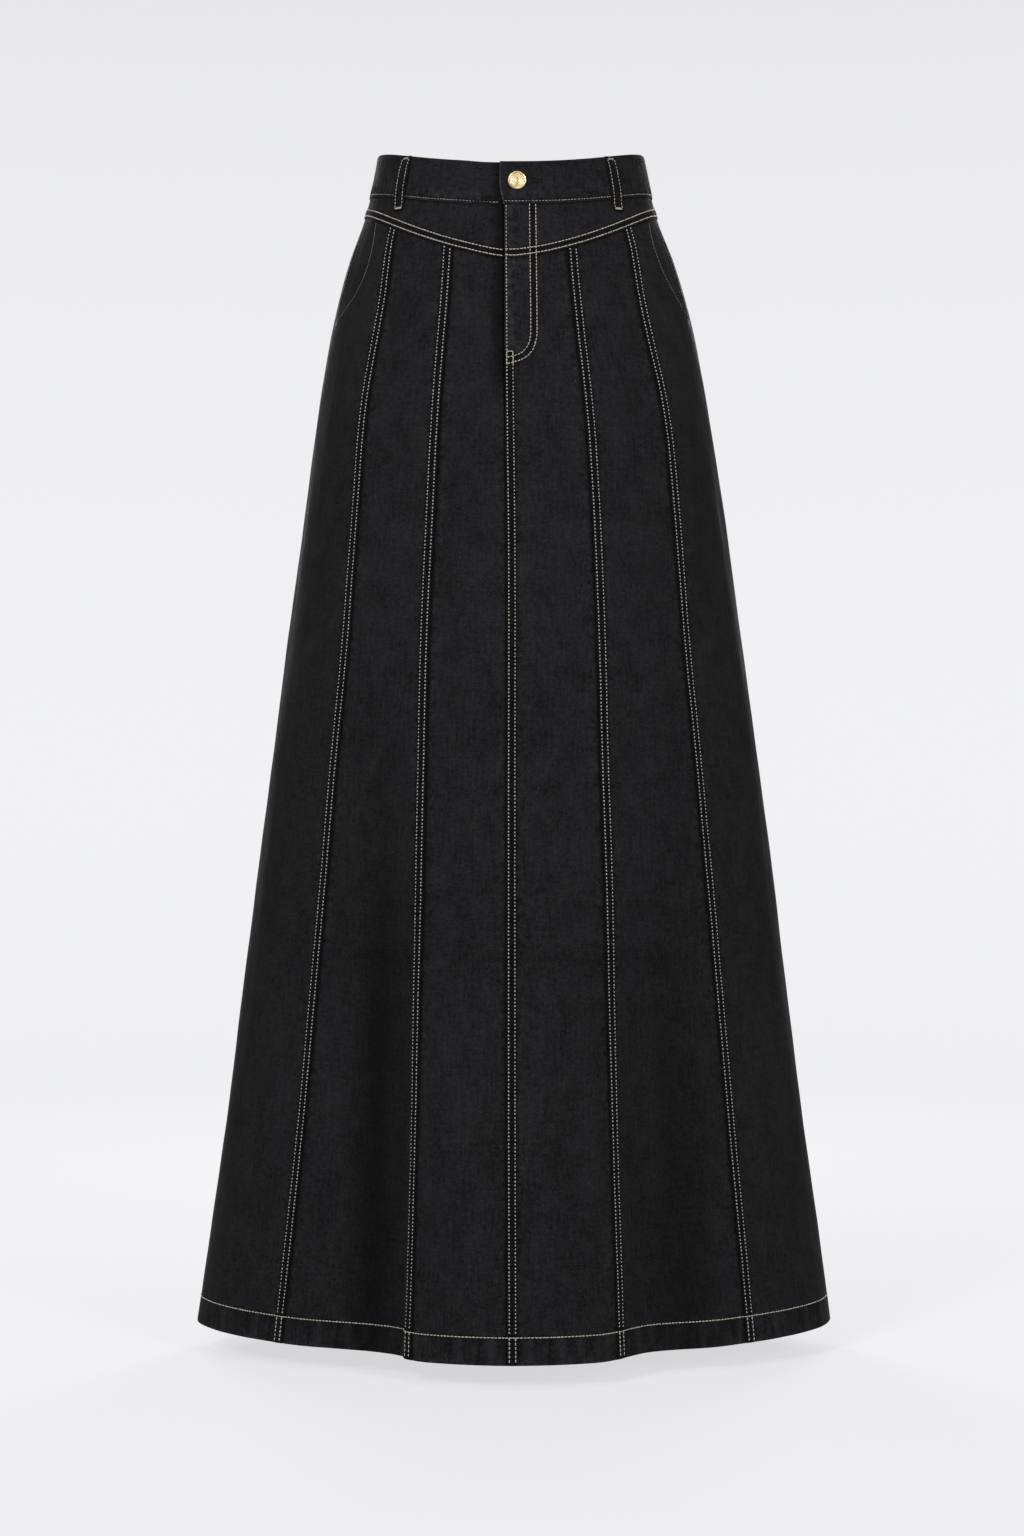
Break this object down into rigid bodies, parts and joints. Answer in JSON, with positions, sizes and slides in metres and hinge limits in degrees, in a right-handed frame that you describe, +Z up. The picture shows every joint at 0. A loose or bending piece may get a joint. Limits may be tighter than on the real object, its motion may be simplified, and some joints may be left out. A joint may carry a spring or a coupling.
{
  "type": "denim skirt",
  "caption": "Long flared denim skirt cut in gores, with a pointed yoke, a waistband, a fly and pockets in the side seams.",
  "frame": {"origin": "on the axis of the body, at the middle height of the waistband at the sides", "axes": "+Z up, the centre front faces -Y, +X is the right side as seen from the front"},
  "size_m": [0.5803, 0.4327, 1.0794],
  "materials": {
    "denim": "washed black twill",
    "denim_inside": "plain cotton",
    "zip_tape": "woven tape",
    "brass": "light antique"
  },
  "bodies": {
    "root": {"front_inner_left": "denim", "front_inner_right": "denim", "front_middle_left": "denim", "front_middle_right": "denim", "front_side_left": "denim", "front_side_right": "denim", "back_inner_left": "denim", "back_inner_right": "denim", "back_middle_left": "denim", "back_middle_right": "denim", "back_side_left": "denim", "back_side_right": "denim", "front_yoke_left": "denim", "front_yoke_right": "denim", "back_yoke_left": "denim", "back_yoke_right": "denim", "waistband": "denim", "belt_loop_front_left": "denim", "belt_loop_front_right": "denim", "belt_loop_back_left": "denim", "belt_loop_back_right": "denim", "belt_loop_back_centre": "denim", "fly_shield": "denim_inside", "pocket_bag_left": "denim_inside", "pocket_bag_right": "denim_inside", "zip": "zip_tape", "button": "brass"}
  },
  "joints": []
}
